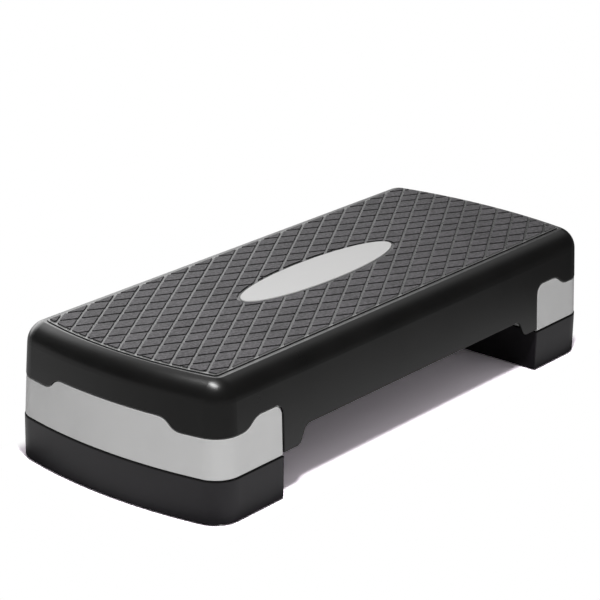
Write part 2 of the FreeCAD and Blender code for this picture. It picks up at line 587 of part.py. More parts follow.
def risers():
    top = "Dims.riser_height"
    foot = "Dims.pad_proud"
    block = common("riser_blank", [
        extrude("riser_outline_block", footprint("riser_outline", "0", foot), f"{top} - {foot}"),
        foot_half("riser_half", INNER_FACE)])
    block = rounded("riser_uprights", block, "Dims.edge_round", upright_at(INNER_FACE))
    block = rounded("riser_upper", block, "Dims.edge_round", level_at(top))
    block = rounded("riser_block", block, "Dims.edge_round", level_at(foot))
    hollow = common("riser_hollow", [
        extrude("riser_hollow_block", footprint("riser_hollow_outline", "Dims.riser_wall", "0"),
                f"{top} - Dims.riser_deck"),
        foot_half("riser_inside", f"{INNER_FACE} + Dims.riser_wall")])
    ribs = common("riser_ribs_trimmed", [foot_ribs("riser_ribs", foot, f"{top} - Dims.riser_deck"), hollow])
    boss_height = f"{top} - {foot} - Dims.riser_deck / 2"
    bosses = [rod(f"riser_boss_{i}", x, y, foot, "Dims.pad_boss_radius", boss_height)
              for i, (x, y) in enumerate(PAD_PLACES)]
    lugs = []
    for i, (x, y) in enumerate(LUG_PLACES):
        lug = box(f"lug_blank_{i}", f"{x} - Dims.lug_width / 2", f"{y} - Dims.lug_length / 2",
                  f"{top} - Dims.riser_deck / 2", "Dims.lug_width", "Dims.lug_length",
                  "Dims.lug_height + Dims.riser_deck / 2")
        lugs.append(rounded(f"lug_{i}", lug, "Dims.lug_round", level_at(f"{top} + Dims.lug_height")))
    solid = fuse("riser_solid", [cut("riser_tub", block, hollow), ribs] + bosses + lugs)
    holes = []
    recess_radius = "Dims.pad_radius + Dims.pad_play"
    pocket_floor = f"{top} - Dims.pad_proud - Dims.pad_play"
    for i, (x, y) in enumerate(PAD_PLACES):
        holes.append(rod(f"riser_pad_recess_{i}", x, y, "0", recess_radius, "Dims.pad_thickness"))
        holes.append(rod(f"riser_pad_pocket_{i}", x, y, pocket_floor, recess_radius, "Dims.height"))
    return end_pair("riser", cut("riser", solid, fuse("riser_holes", holes)))


def leg_screws():
    screws = []
    head_foot = f"{UNDER_HEAD} - Dims.screw_head_height"
    shank_foot = f"{head_foot} + Dims.screw_head_height / 2"
    shank_height = "Dims.screw_length + Dims.screw_head_height / 2"
    for i, (x, y) in enumerate(SCREW_PLACES, start=1):
        head = rod(f"screw_head_{i}", x, y, head_foot, "Dims.screw_head_radius", "Dims.screw_head_height")
        shank = rod(f"screw_shank_{i}", x, y, shank_foot, "Dims.screw_radius", shank_height)
        screws += end_pair(f"leg_screw_{i}", fuse(f"screw_{i}", [head, shank]))
    return screws


def foot_pads():
    pads = []
    for kind, z in (("leg", "Dims.riser_height - Dims.pad_proud"), ("riser", "0")):
        for i, (x, y) in enumerate(PAD_PLACES, start=1):
            pad = rod(f"{kind}_pad_blank_{i}", x, y, z, "Dims.pad_radius", "Dims.pad_thickness")
            pads += end_pair(f"{kind}_pad_{i}", pad)
    return pads


pieces = platform_shell() + legs() + risers() + leg_screws() + foot_pads() + centre_plate() + anti_slip_mat()
doc.recompute()

for item in doc.Objects:
    if "Invalid" in item.State or "Error" in item.State:
        raise RuntimeError(f"{item.Name} failed: {item.State}")
for piece in pieces:
    if piece.Shape.isNull() or not piece.Shape.isValid() or len(piece.Shape.Solids) != 1:
        raise RuntimeError(f"{piece.Label} is not one valid solid")

os.makedirs("parts", exist_ok=True)
for piece in pieces:
    piece.Shape.exportStep(f"parts/{piece.Label}.step")
    extent = piece.Shape.BoundBox
    print(f"{piece.Label}: {piece.Shape.Volume / 1000:.1f} cm3, z {extent.ZMin:.2f} to {extent.ZMax:.2f}")
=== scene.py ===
# Dresses the step platform: its diamond mat, plate, screws, foot pads and finishes, on a pale studio floor.
import bpy
import bmesh
import json
import math
from mathutils import Matrix, Vector


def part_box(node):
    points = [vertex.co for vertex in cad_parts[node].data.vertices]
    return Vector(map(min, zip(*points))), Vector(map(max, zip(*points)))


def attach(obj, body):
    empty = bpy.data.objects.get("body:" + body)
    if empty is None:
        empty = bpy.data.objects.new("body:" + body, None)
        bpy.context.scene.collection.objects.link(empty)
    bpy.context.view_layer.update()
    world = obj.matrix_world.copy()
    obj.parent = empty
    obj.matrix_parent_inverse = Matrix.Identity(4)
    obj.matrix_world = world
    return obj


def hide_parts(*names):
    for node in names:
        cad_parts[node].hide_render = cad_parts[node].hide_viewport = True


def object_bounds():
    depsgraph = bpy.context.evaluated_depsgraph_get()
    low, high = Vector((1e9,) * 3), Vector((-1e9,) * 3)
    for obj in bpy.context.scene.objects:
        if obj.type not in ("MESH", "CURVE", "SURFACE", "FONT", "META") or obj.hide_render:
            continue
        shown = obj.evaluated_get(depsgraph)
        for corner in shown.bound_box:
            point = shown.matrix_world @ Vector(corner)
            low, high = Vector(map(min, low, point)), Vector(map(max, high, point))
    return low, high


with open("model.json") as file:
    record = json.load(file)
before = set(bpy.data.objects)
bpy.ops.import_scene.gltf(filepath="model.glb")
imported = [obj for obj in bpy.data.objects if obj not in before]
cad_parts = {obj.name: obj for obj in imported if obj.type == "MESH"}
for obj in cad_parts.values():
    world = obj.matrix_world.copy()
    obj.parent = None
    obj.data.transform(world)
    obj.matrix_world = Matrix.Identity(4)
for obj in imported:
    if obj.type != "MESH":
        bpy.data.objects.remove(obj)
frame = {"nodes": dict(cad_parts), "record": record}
cadBox = [list(corner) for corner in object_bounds()]
print("frame loaded:", len(frame["nodes"]), "nodes")

mm = 0.001
ends = ("left", "right")


class Wire:
    # One socket of a node tree. Arithmetic on it adds Math nodes, and node() adds any other kind.
    def __init__(self, tree, socket=None):
        self.tree = tree
        self.socket = socket

    def node(self, kind, settings=None, inputs=None, output=0):
        made = self.tree.nodes.new(kind)
        for name, value in (settings or {}).items():
            setattr(made, name, value)
        for key, value in (inputs or {}).items():
            for item in value if isinstance(value, list) else [value]:
                if isinstance(item, Wire):
                    self.tree.links.new(item.socket, made.inputs[key])
                else:
                    made.inputs[key].default_value = item
        return Wire(self.tree, made.outputs[output] if made.outputs else None)

    def pick(self, output):
        return Wire(self.tree, self.socket.node.outputs[output])

    def math(self, operation, *values):
        return self.node("ShaderNodeMath", {"operation": operation}, dict(enumerate(values)))

    def axis(self, name):
        return self.node("ShaderNodeSeparateXYZ", inputs={0: self}, output=name)

    def larger(self, other):
        return self.math("MAXIMUM", self, other)

    def __abs__(self):
        return self.math("ABSOLUTE", self)

    def __add__(self, other):
        return self.math("ADD", self, other)

    __radd__ = __add__

    def __sub__(self, other):
        return self.math("SUBTRACT", self, other)

    def __rsub__(self, other):
        return self.math("SUBTRACT", other, self)

    def __mul__(self, other):
        return self.math("MULTIPLY", self, other)

    __rmul__ = __mul__

    def __truediv__(self, other):
        return self.math("DIVIDE", self, other)

    def __lt__(self, other):
        return self.math("LESS_THAN", self, other)

    def __gt__(self, other):
        return self.math("GREATER_THAN", self, other)

    def ease(self, low, high):
        # 0 below low, 1 above high, and smooth between.
        values = {"Value": self, "From Min": low, "From Max": high}
        return self.node("ShaderNodeMapRange", {"interpolation_type": "SMOOTHSTEP"}, values)

    def blend(self, first, second):
        # A colour between two, with this wire as the factor.
        return self.node("ShaderNodeMix", {"data_type": "RGBA"}, {0: self, 6: first, 7: second}, 2)


def grey(value, warmth=0.0):
    # A near-neutral colour; warmth leans it to red, and below zero to blue.
    return (value * (1 + warmth), value, value * (1 - warmth), 1.0)


# Finishes

def newFinish(name):
    material = bpy.data.materials.new(name)
    material.use_nodes = True
    material.node_tree.nodes.clear()
    wire = Wire(material.node_tree)
    return material, wire.node("ShaderNodeTexCoord", output="Object")


def noise(spot, size, detail=2.0, roughness=0.55):
    # Soft noise whose blobs are about the given size in metres.
    values = {"Vector": spot, "Scale": 1 / size, "Detail": detail, "Roughness": roughness}
    return spot.node("ShaderNodeTexNoise", inputs=values)


def stretched(spot, scale):
    return spot.node("ShaderNodeMapping", inputs={"Vector": spot, "Scale": scale})


def specks(spot, cell, radius, share):
    # Scattered dots: one for some of the cells.
    cells = spot.node("ShaderNodeTexVoronoi", inputs={"Vector": spot, "Scale": 1 / cell})
    chosen = cells.node("ShaderNodeSeparateColor", inputs={0: cells.pick("Color")})
    solid = 0.3 * radius
    return (1 - cells.ease(solid / cell, radius / cell)) * (chosen < share)


def surface(spot, values, height=None, depth=0.0):
    # The shader, with a bump of the given depth in metres where there is a height.
    if height:
        values["Normal"] = spot.node("ShaderNodeBump", inputs={"Height": height, "Distance": depth})
    shader = spot.node("ShaderNodeBsdfPrincipled", inputs=values)
    spot.node("ShaderNodeOutputMaterial", inputs={"Surface": shader})


moulding = {"cloudLow": 0.3, "cloudHigh": 0.7, "cloudShare": 0.7, "streakStretch": (1.0, 1.0, 0.04)}


def mouldedPlastic(name, look):
    material, spot = newFinish(name)
    cloud = noise(spot, look["cloudSize"], 3.0)
    fine = noise(spot, look["grainSize"], 2.0)
    streak = noise(stretched(spot, moulding["streakStretch"]), look["streakSize"], 1.0)
    shade = cloud.ease(moulding["cloudLow"], moulding["cloudHigh"]) * moulding["cloudShare"]
    shade = shade + streak * (1 - moulding["cloudShare"])
    tone = shade.blend(look["deep"], look["pale"])
    dust = specks(spot, look["speckCell"], look["speckRadius"], look["speckShare"])
    colour = (dust * look["speckFade"]).blend(tone, look["speckColour"])
    gloss = look["roughness"] + (cloud - 0.5) * look["roughSpread"] + (fine - 0.5) * look["roughSpread"]
    if "seamTop" in look:
        # Painted shade: near black and rougher in the seam along the top edge, where the leg sits on the
        # riser.
        seamShade = spot.axis("Z").ease(look["seamTop"] - look["seamDepth"], look["seamTop"] - look["seamFull"])
        colour = seamShade.blend(colour, look["seamPaintedShade"])
        gloss = gloss + seamShade * (1 - look["roughness"])
    height = fine * look["grainDepth"] + streak * look["streakDepth"]
    values = {"Base Color": colour, "Roughness": gloss, "Specular IOR Level": look["specular"]}
    surface(spot, values, height, 1.0)
    return material


shellLook = {
    "deep": grey(0.0042, 0.02), "pale": grey(0.0066, 0.03), "roughness": 0.3, "roughSpread": 0.08,
    "specular": 0.5, "cloudSize": 0.07, "grainSize": 0.0007, "grainDepth": 0.00003, "streakSize": 0.02,
    "streakDepth": 0.00002, "speckCell": 0.03, "speckRadius": 0.0006, "speckShare": 0.3, "speckFade": 0.35,
    "speckColour": grey(0.14),
}
# Riser: its seam keys paint shade along the top edge, where the leg sits on it.
riserLook = {
    "deep": (0.0098, 0.0084, 0.0108, 1.0), "pale": (0.0145, 0.0128, 0.0158, 1.0), "roughness": 0.46,
    "roughSpread": 0.10, "specular": 0.45, "cloudSize": 0.05, "grainSize": 0.0008, "grainDepth": 0.00005,
    "streakSize": 0.014, "streakDepth": 0.0001, "speckCell": 0.03, "speckRadius": 0.0006, "speckShare": 0.25,
    "speckFade": 0.3, "speckColour": grey(0.16), "seamTop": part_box("leg_left")[0].z, "seamDepth": 1.4 * mm,
    "seamFull": 0.56 * mm, "seamPaintedShade": grey(0.0008),
}
legLook = {
    "deep": grey(0.53, 0.002), "pale": grey(0.56, 0.004), "roughness": 0.5, "roughSpread": 0.08,
    "specular": 0.35, "cloudSize": 0.06, "grainSize": 0.0007, "grainDepth": 0.00004, "streakSize": 0.016,
    "streakDepth": 0.00003, "speckCell": 0.035, "speckRadius": 0.0004, "speckShare": 0.2, "speckFade": 0.35,
    "speckColour": grey(0.25),
}
plateLook = dict(legLook, deep=grey(0.522, 0.004), pale=grey(0.542, 0.006), roughness=0.55, specular=0.2)


# Mat: a smooth sheet with diamond pads standing on it, cut off at ledges along its edge and round the plate
mat = {
    "pitchLong": 39.6 * mm, "pitchWide": 22.4 * mm, "shiftLong": -1.8 * mm, "shiftWide": 1.0 * mm,
    "groove": 3.0 * mm, "grooveDepth": 1.2 * mm, "padEdge": 0.25 * mm, "padCorner": 0.8 * mm,
    "rootDepth": 0.6 * mm, "sideLedge": 1.8 * mm, "endLedge": 3.0 * mm, "plateLedge": 4.5 * mm,
    "bow": 14.0 * mm, "cornerSteps": 3, "bowVertices": 512, "ovalVertices": 160, "cutHeight": 50 * mm,
    "flatSlope": 0.7, "wallMargin": 0.05 * mm,
}


def matSizes():
    low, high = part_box("anti_slip_mat")
    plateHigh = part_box("centre_plate")[1]
    halfLong, halfWide = mat["pitchLong"] / 2, mat["pitchWide"] / 2
    floor = high.z - mat["grooveDepth"]
    toSide = halfLong * halfWide / math.hypot(halfLong, halfWide)
    share = 1 - mat["groove"] / 2 / toSide
    columns = math.ceil((high.x + abs(mat["shiftLong"])) / mat["pitchLong"])
    rows = math.ceil((high.y + abs(mat["shiftWide"])) / mat["pitchWide"])
    return {
        "Pitch Long": mat["pitchLong"], "Pitch Wide": mat["pitchWide"], "Columns": columns, "Rows": rows,
        "Shift Long": mat["shiftLong"], "Shift Wide": mat["shiftWide"],
        "Pad Length": 2 * halfLong * share, "Pad Half Width": halfWide * share,
        "Pad Corner": mat["padCorner"], "Pad Edge": mat["padEdge"], "Root": mat["rootDepth"],
        "Pad Wall": mat["grooveDepth"] - mat["padEdge"] + mat["rootDepth"],
        "Floor": floor, "Sheet": floor - low.z,
        "End Radius": (high.y ** 2 + mat["bow"] ** 2) / (2 * mat["bow"]) - mat["endLedge"],
        "Half Length": high.x - mat["endLedge"], "Half Width": high.y - mat["sideLedge"],
        "Oval Length": plateHigh.x + mat["plateLedge"], "Oval Width": plateHigh.y + mat["plateLedge"],
    }


rubber = {
    "cloudLow": 0.3, "cloudHigh": 0.7, "cloudShare": 0.25, "grainLow": 0.33, "grainHigh": 0.67,
    "grainRoughness": 0.65, "coarseShare": 0.7, "fineness": 3,
}


def matRubber(name, look):
    material, spot = newFinish(name)
    cloud = noise(spot, look["cloudSize"], 3.0)
    coarse = noise(spot, look["grainSize"], 3.0, rubber["grainRoughness"])
    fine = noise(spot, look["grainSize"] / rubber["fineness"], 1.0)
    shade = cloud.ease(rubber["cloudLow"], rubber["cloudHigh"]) * rubber["cloudShare"]
    shade = shade + coarse.ease(rubber["grainLow"], rubber["grainHigh"]) * (1 - rubber["cloudShare"])
    tone = shade.blend(look["deep"], look["pale"])
    if "ledgePaintedSheen" in look:
        # Painted sheen: paler on the ledge, along the straight sides and the bowed ends, for light that the
        # ledge catches.
        sizes = matSizes()
        across = spot.axis("Y")
        fromBow = abs(spot.axis("X")) + (sizes["End Radius"] - sizes["Half Length"])
        onEnd = fromBow * fromBow + across * across > (sizes["End Radius"] - mat["wallMargin"]) ** 2
        onSide = abs(across) > sizes["Half Width"] - mat["wallMargin"]
        tone = onEnd.larger(onSide).blend(tone, look["ledgePaintedSheen"])
    gloss = look["roughness"] + (coarse - 0.5) * look["roughSpread"]
    height = coarse * rubber["coarseShare"] + fine * (1 - rubber["coarseShare"])
    height = height * look["grainDepth"]
    values = {"Base Color": tone, "Roughness": gloss, "Specular IOR Level": look["specular"]}
    surface(spot, values, height, 1.0)
    return material


padLook = {
    "deep": (0.012, 0.0112, 0.0124, 1.0), "pale": (0.099, 0.093, 0.101, 1.0), "roughness": 0.56,
    "roughSpread": 0.25, "specular": 0.2, "cloudSize": 0.05, "grainSize": 0.0034, "grainDepth": 0.0006,
}
# Groove rubber: its darker base is painted shade in the grooves, and its paler ledge colour is a painted
# sheen; its lower roughness gives a real gloss.
grooveLook = dict(padLook, deep=grey(0.014), pale=grey(0.026), roughness=0.28, roughSpread=0.08,
                  specular=0.27, grainDepth=0.00004, ledgePaintedSheen=grey(0.13))
footLook = dict(padLook, deep=grey(0.018), pale=grey(0.026), roughness=0.75, grainDepth=0.0001)


zincLook = {
    "deep": grey(0.55, 0.01), "pale": grey(0.68, -0.01), "roughness": 0.3, "roughSpread": 0.15,
    "cloudSize": 0.002, "grainSize": 0.0009, "grainStretch": (1.0, 1.0, 6.0), "grainDepth": 0.00002,
}


def zincPlate(name, look):
    material, spot = newFinish(name)
    cloud = noise(spot, look["cloudSize"], 3.0)
    fine = noise(stretched(spot, look["grainStretch"]), look["grainSize"], 2.0)
    tone = cloud.blend(look["deep"], look["pale"])
    gloss = look["roughness"] + fine * look["roughSpread"]
    surface(spot, {"Base Color": tone, "Metallic": 1.0, "Roughness": gloss}, fine, look["grainDepth"])
    return material


finishes = {
    "shell": mouldedPlastic("satinBlackPlastic", shellLook),
    "riser": mouldedPlastic("mattBlackPlastic", riserLook),
    "leg": mouldedPlastic("lightGreyPlastic", legLook),
    "plate": mouldedPlastic("paleGreyPlastic", plateLook),
    "mat": matRubber("grainedPadRubber", padLook),
    # The foot rubber doubles as painted shade on the mat's walls.
    "pad": matRubber("footRubberAndWallShade", footLook),
    "screw": zincPlate("zincPlatedSteel", zincLook),
}
grooveFinish = matRubber("grooveRubberPaintedShadeAndSheen", grooveLook)
for part in frame["record"]["subparts"]:
    node = frame["nodes"][part["node"]]
    node.data.materials.clear()
    node.data.materials.append(finishes[part["material_slot"]])
print("finishes:", len(finishes) + 1)


# Mesh helpers

weldGap = 0.001 * mm
doublesGap = 0.002 * mm
flatTurn = math.radians(0.05)  # faces that turn by less are one
turnSeed = 5


def addPiece(name, mesh):
    piece = bpy.data.objects.new(name, mesh)
    bpy.context.scene.collection.objects.link(piece)
    return piece


def nodeCopy(name, node):
    # A piece with the node's own mesh, its loose triangles merged and flat faces joined.
    mesh = frame["nodes"][node].data.copy()
    mesh.name = name
    form = bmesh.new()
    form.from_mesh(mesh)
    bmesh.ops.remove_doubles(form, verts=form.verts, dist=doublesGap)
    bmesh.ops.dissolve_limit(form, angle_limit=flatTurn, verts=form.verts, edges=form.edges)
    form.to_mesh(mesh)
    form.free()
    return addPiece(name, mesh)


def bake(piece):
    # Replaces a piece's live modifiers by the mesh that they make.
    bpy.context.view_layer.update()
    graph = bpy.context.evaluated_depsgraph_get()
    mesh = bpy.data.meshes.new_from_object(piece.evaluated_get(graph), depsgraph=graph)
    piece.modifiers.clear()
    piece.data = mesh
    return piece


def runTree(piece, tree, sizes):
    # Puts the tree on the piece with its named sizes, and bakes the result.
    modifier = piece.modifiers.new(tree.name, "NODES")
    modifier.node_group = tree
    for item in tree.interface.items_tree:
        if item.in_out == "INPUT" and item.name in sizes:
            modifier[item.identifier] = sizes[item.name]
    return bake(piece)


def newTree(name, sizes):
    # A geometry tree with a geometry input and one named input for each size.
    tree = bpy.data.node_groups.new(name, "GeometryNodeTree")
    tree.interface.new_socket("Geometry", in_out="OUTPUT", socket_type="NodeSocketGeometry")
    tree.interface.new_socket("Geometry", in_out="INPUT", socket_type="NodeSocketGeometry")
    for label, value in sizes.items():
        kind = "NodeSocketInt" if isinstance(value, int) else "NodeSocketFloat"
        tree.interface.new_socket(label, in_out="INPUT", socket_type=kind)
    start = Wire(tree).node("NodeGroupInput", output="Geometry")
    return tree, start


def endTree(shape, finish, selection=True):
    # Realizes the instances and sets the finish.
    solid = shape.node("GeometryNodeRealizeInstances", inputs={"Geometry": shape})
    return solid.node("GeometryNodeSetMaterial", inputs={
        "Geometry": solid, "Selection": selection, "Material": finish})


def closeTree(shape):
    shape.node("NodeGroupOutput", inputs={"Geometry": shape})


def joined(*shapes):
    return shapes[0].node("GeometryNodeJoinGeometry", inputs={"Geometry": list(reversed(shapes))})


def welded(*shapes):
    # Shapes that meet edge to edge, as one.
    whole = joined(*shapes)
    return whole.node("GeometryNodeMergeByDistance", inputs={"Geometry": whole, "Distance": weldGap})


def moved(shape, x=0.0, y=0.0, z=0.0, scale=(1.0, 1.0, 1.0)):
    shift = shape.node("ShaderNodeCombineXYZ", inputs={"X": x, "Y": y, "Z": z})
    return shape.node("GeometryNodeTransform", inputs={
        "Geometry": shape, "Translation": shift, "Scale": scale})


def boolean(operation, shapes, base=None):
    inputs = {"Mesh 2": shapes}
    if base:
        inputs["Mesh 1"] = base
    return shapes[0].node("GeometryNodeMeshBoolean", {"operation": operation, "solver": "EXACT"}, inputs)


def settle(piece, body, nodes):
    # Rides the finished piece on its body, in place of the plain nodes.
    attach(piece, body)
    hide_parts(*nodes)
    print(f"{piece.name}: {len(piece.data.polygons)} faces")


# Mat: the sheet grows from the node's own sole, and the pads are cut to its field

def matTree(sizes):
    tree, sole = newTree("diamondMat", sizes)
    size = sole.pick
    upward = sole.node("GeometryNodeFlipFaces", inputs={"Mesh": sole})
    sheet = upward.node("GeometryNodeExtrudeMesh", inputs={
        "Mesh": upward, "Offset Scale": size("Sheet"), "Individual": False})
    sheet = welded(sheet, sole)
    half = size("Pad Half Width")
    rim = sole.node("GeometryNodeCurvePrimitiveQuadrilateral", {"mode": "KITE"}, {
        "Width": size("Pad Length"), "Bottom Height": half, "Top Height": half})
    corner = {"Curve": rim, "Radius": size("Pad Corner"), "Limit Radius": True, "Count": mat["cornerSteps"]}
    rim = rim.node("GeometryNodeFilletCurve", {"mode": "POLY"}, corner)
    base = rim.node("GeometryNodeFillCurve", {"mode": "NGONS"}, {"Curve": rim})
    wall = base.node("GeometryNodeExtrudeMesh", inputs={"Mesh": base, "Offset Scale": size("Pad Wall")})
    edge = wall.node("GeometryNodeExtrudeMesh", inputs={
        "Mesh": wall, "Selection": wall.pick("Top"), "Offset Scale": size("Pad Edge")})
    drawnIn = 1 - size("Pad Edge") / half
    top = edge.node("GeometryNodeScaleElements", inputs={
        "Geometry": edge, "Selection": edge.pick("Top"), "Scale": drawnIn})
    under = base.node("GeometryNodeFlipFaces", inputs={"Mesh": base})
    pad = welded(top, under)

    def lattice(columns, rows):
        # Points at the pads' pitch, round the middle.
        values = {"Size X": (columns - 1) * size("Pitch Long"), "Size Y": (rows - 1) * size("Pitch Wide"),
                  "Vertices X": columns, "Vertices Y": rows}
        return sheet.node("GeometryNodeMeshGrid", inputs=values)

    columns, rows = size("Columns"), size("Rows")
    points = joined(lattice(columns * 2, rows * 2 + 1), lattice(columns * 2 + 1, rows * 2))
    points = moved(points, x=size("Shift Long"), y=size("Shift Wide"), z=size("Floor") - size("Root"))
    pads = points.node("GeometryNodeInstanceOnPoints", inputs={"Points": points, "Instance": pad})
    pads = pads.node("GeometryNodeRealizeInstances", inputs={"Geometry": pads})

    tall = mat["cutHeight"]
    field = sheet.node("GeometryNodeMeshCube", inputs={"Size": sheet.node("ShaderNodeCombineXYZ", inputs={
        "X": 4 * size("Half Length"), "Y": 2 * size("Half Width"), "Z": tall})})
    field = moved(field, z=size("Floor"))
    disc = sheet.node("GeometryNodeMeshCylinder", inputs={
        "Vertices": mat["bowVertices"], "Radius": size("End Radius"), "Depth": 1.2 * tall})
    reach = size("Half Length") - size("End Radius")
    bows = [moved(disc, x=reach * side, z=size("Floor")) for side in (1, -1)]
    pads = boolean("INTERSECT", [pads, field] + bows)
    oval = sheet.node("GeometryNodeMeshCylinder", inputs={
        "Vertices": mat["ovalVertices"], "Radius": 1.0, "Depth": tall})
    ovalScale = sheet.node("ShaderNodeCombineXYZ", inputs={
        "X": size("Oval Length"), "Y": size("Oval Width"), "Z": 1.0})
    oval = moved(oval, z=size("Floor"), scale=ovalScale)
    pads = boolean("DIFFERENCE", [oval], pads)
    # Painted shade: the pad walls and the sheet's sides take the darker foot-pad rubber, for the shade that
    # falls on them; flats and the walls at the ledge then take the groove rubber.
    whole = endTree(boolean("UNION", [sheet, pads]), finishes["pad"])
    place = whole.node("GeometryNodeInputPosition")
    height = place.axis("Z")
    wallTop = size("Floor") + size("Pad Wall") - size("Root")
    onLedge = abs(place.axis("Y")) > size("Half Width") - mat["wallMargin"]
    slope = whole.node("GeometryNodeInputNormal").axis("Z")
    whole = endTree(whole, grooveFinish, slope > mat["flatSlope"])
    whole = endTree(whole, grooveFinish, onLedge * (height > size("Floor")))
    closeTree(endTree(whole, finishes["mat"], height > wallTop))
    return tree


def keepSole(piece, level):
    # Deletes all but the faces that lie flat at one height.
    margin = 0.01 * mm
    form = bmesh.new()
    form.from_mesh(piece.data)
    others = [face for face in form.faces if max(vertex.co.z for vertex in face.verts) > level + margin]
    bmesh.ops.delete(form, geom=others, context="FACES")
    form.to_mesh(piece.data)
    form.free()


def makeMat():
    sizes = matSizes()
    piece = nodeCopy("diamondMat", "anti_slip_mat")
    keepSole(piece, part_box("anti_slip_mat")[0].z)
    piece.data.materials.clear()
    runTree(piece, matTree(sizes), sizes)
    settle(piece, "platform", ["anti_slip_mat"])


makeMat()


# Plate: the oval with a softened edge

plate = {"edge": 0.5 * mm, "segments": 3, "edgeAngle": math.radians(40)}


def makePlate():
    piece = nodeCopy("ovalPlate", "centre_plate")
    bevel = piece.modifiers.new("softEdge", "BEVEL")
    bevel.width = plate["edge"]
    bevel.segments = plate["segments"]
    bevel.angle_limit = plate["edgeAngle"]
    settle(bake(piece), "platform", ["centre_plate"])


makePlate()


# Round pieces on spots: foot pads and leg screws

def ringed(start, vertices, profile):
    # A round solid that goes from ring to ring, each with its radius and height.
    radius, height = profile[0]
    disc = start.node("GeometryNodeMeshCircle", {"fill_type": "NGON"}, {
        "Vertices": vertices, "Radius": radius})
    disc = moved(disc, z=height)
    shape, top = disc, True
    for nextRadius, nextHeight in profile[1:]:
        grown = shape.node("GeometryNodeExtrudeMesh", inputs={
            "Mesh": shape, "Selection": top, "Offset Scale": nextHeight - height, "Individual": False})
        top = grown.pick("Top")
        shape = grown.node("GeometryNodeScaleElements", inputs={
            "Geometry": grown, "Selection": top, "Scale": nextRadius / radius})
        radius, height = nextRadius, nextHeight
    under = disc.node("GeometryNodeFlipFaces", inputs={"Mesh": disc})
    return welded(shape, under)


def onSpots(start, shape, turn):
    # The shape upside down on every point of the piece, each turned by chance about its own axis.
    limits = {2: 0.0, 3: turn, "Seed": turnSeed}
    angle = start.node("FunctionNodeRandomValue", {"data_type": "FLOAT"}, limits, 1)
    rotation = start.node("ShaderNodeCombineXYZ", inputs={"X": math.pi, "Y": 0.0, "Z": angle})
    return start.node("GeometryNodeInstanceOnPoints", inputs={
        "Points": start, "Instance": shape, "Rotation": rotation})


def spotPiece(name, nodes, level):
    # A mesh of one point on each node's axis, at a share of its height.
    spots = []
    for node in nodes:
        low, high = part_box(node)
        spots.append(((low.x + high.x) / 2, (low.y + high.y) / 2, low.z + (high.z - low.z) * level))
    mesh = bpy.data.meshes.new(name)
    mesh.from_pydata(spots, [], [])
    return addPiece(name, mesh)


footPad = {"edge": 0.8 * mm, "grooveDepth": 0.7 * mm, "grooveWidth": 1.2 * mm, "outerGroove": 9.2 * mm,
           "innerGroove": 5.4 * mm, "edgeShare": 0.3, "grooveSlope": 0.25, "vertices": 64, "turn": 0.0}


def padTree(sizes):
    tree, start = newTree("ringedFootPad", sizes)
    size = start.pick
    radius, thick, edge = size("Radius"), size("Thickness"), size("Edge")
    depth, width = size("Groove Depth"), size("Groove Width")
    cut, slope = edge * footPad["edgeShare"], width * footPad["grooveSlope"]
    profile = [(radius, 0.0), (radius, thick - edge), (radius - cut, thick - cut), (radius - edge, thick)]
    for groove in (size("Outer Groove"), size("Inner Groove")):
        profile += [(groove, thick), (groove - slope, thick - depth),
                    (groove - width + slope, thick - depth), (groove - width, thick)]
    pad = ringed(start, footPad["vertices"], profile)
    closeTree(endTree(onSpots(start, pad, footPad["turn"]), finishes["pad"]))
    return tree


def makeFootPads():
    low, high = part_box("riser_pad_1_left")
    sizes = {
        "Radius": (high.x - low.x) / 2, "Thickness": high.z - low.z, "Edge": footPad["edge"],
        "Groove Depth": footPad["grooveDepth"], "Groove Width": footPad["grooveWidth"],
        "Outer Groove": footPad["outerGroove"], "Inner Groove": footPad["innerGroove"],
    }
    tree = padTree(sizes)
    sets = {"platform": [f"leg_pad_{i}_{end}" for end in ends for i in range(1, 5)]}
    for end in ends:
        sets[f"{end}_riser"] = [f"riser_pad_{i}_{end}" for i in range(1, 5)]
    for body, nodes in sets.items():
        piece = spotPiece(f"footPads.{body}", nodes, 1.0)
        settle(runTree(piece, tree, sizes), body, nodes)


makeFootPads()


screw = {
    "headHeight": 2.8 * mm, "shankRadius": 2.0 * mm, "crossLength": 4.6 * mm, "crossWidth": 0.9 * mm,
    "crossDepth": 1.5 * mm, "threadPitch": 1.4 * mm, "threadDepth": 0.45 * mm, "threadSteps": 24,
    "threadSides": 4, "bareTurns": 2, "tipShare": 0.25, "tipLength": 1.2, "headVertices": 48,
    "turn": 2 * math.pi,
    # Rings of the head, from its seat up, as shares of its radius and of its depth below the top.
    "head": ((0.94, 1.0), (1.0, 0.9), (1.0, 0.5), (0.95, 0.28), (0.84, 0.1), (0.66, 0.0)),
}


